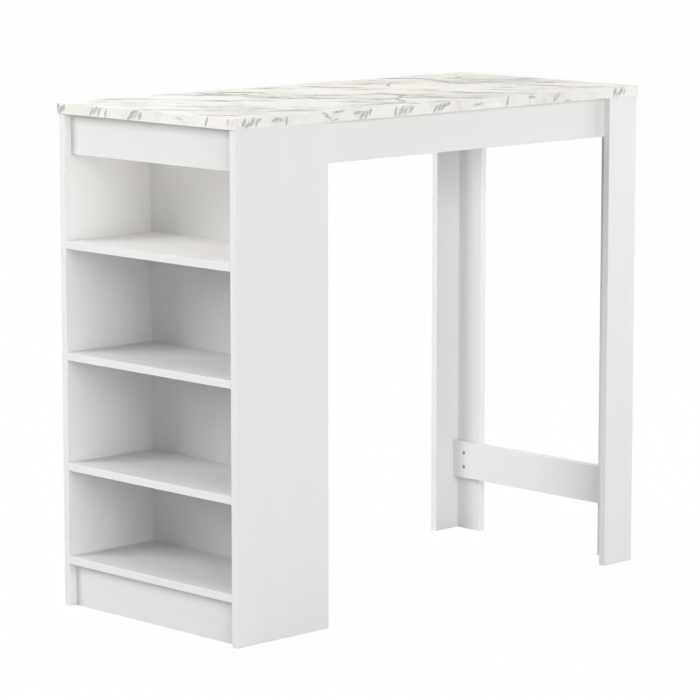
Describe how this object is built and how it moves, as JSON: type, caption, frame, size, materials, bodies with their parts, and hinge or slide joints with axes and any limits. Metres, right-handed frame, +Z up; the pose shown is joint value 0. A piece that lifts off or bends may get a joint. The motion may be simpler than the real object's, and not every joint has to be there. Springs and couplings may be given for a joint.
{
  "type": "bar table",
  "caption": "Bar-height table with a marble-look top carried by an open white shelf column at one end and L-shaped board legs with a foot rail at the other.",
  "frame": {"origin": "on the floor below the middle of the table top", "axes": "+X from the shelf column to the legs, +Y from the front to the rear, +Z up"},
  "size_m": [1.16, 0.53, 1.03],
  "materials": {
    "marble_melamine": "satin marble-look melamine on chipboard",
    "marble_edge_band": "printed marble-look edge band",
    "white_melamine": "satin white melamine on chipboard",
    "white_edge_band": "satin white edge band",
    "beech": "plain fluted beech",
    "zinc_plated_steel": "zinc plated",
    "zinc_die_cast": "die cast",
    "dark_steel": "blackened"
  },
  "bodies": {
    "root": {"board_screws": "dark_steel", "bottom_shelf": "white_melamine", "bottom_shelf_left_band": "white_edge_band", "cam_bolts": "zinc_plated_steel", "cam_discs": "zinc_die_cast", "column_back_panel": "white_melamine", "column_end_apron": "white_melamine", "column_end_apron_bottom_band": "white_edge_band", "foot_rail": "white_melamine", "foot_rail_bottom_band": "white_edge_band", "foot_rail_top_band": "white_edge_band", "front_apron": "white_melamine", "front_apron_bottom_band": "white_edge_band", "front_leg_end_board": "white_melamine", "front_leg_end_board_rear_band": "white_edge_band", "front_leg_face_board": "white_melamine", "front_leg_face_board_left_band": "white_edge_band", "front_leg_face_board_right_band": "white_edge_band", "front_side_panel": "white_melamine", "front_side_panel_left_band": "white_edge_band", "front_side_panel_right_band": "white_edge_band", "leg_end_apron": "white_melamine", "leg_end_apron_bottom_band": "white_edge_band", "lower_shelf": "white_melamine", "lower_shelf_left_band": "white_edge_band", "middle_shelf": "white_melamine", "middle_shelf_left_band": "white_edge_band", "plinth": "white_melamine", "rear_apron": "white_melamine", "rear_apron_bottom_band": "white_edge_band", "rear_leg_end_board": "white_melamine", "rear_leg_end_board_front_band": "white_edge_band", "rear_leg_face_board": "white_melamine", "rear_leg_face_board_left_band": "white_edge_band", "rear_leg_face_board_right_band": "white_edge_band", "rear_side_panel": "white_melamine", "rear_side_panel_left_band": "white_edge_band", "rear_side_panel_right_band": "white_edge_band", "table_top": "marble_melamine", "table_top_front_band": "marble_edge_band", "table_top_left_band": "marble_edge_band", "table_top_rear_band": "marble_edge_band", "table_top_right_band": "marble_edge_band", "upper_shelf": "white_melamine", "upper_shelf_left_band": "white_edge_band", "wood_dowels": "beech"}
  },
  "joints": []
}
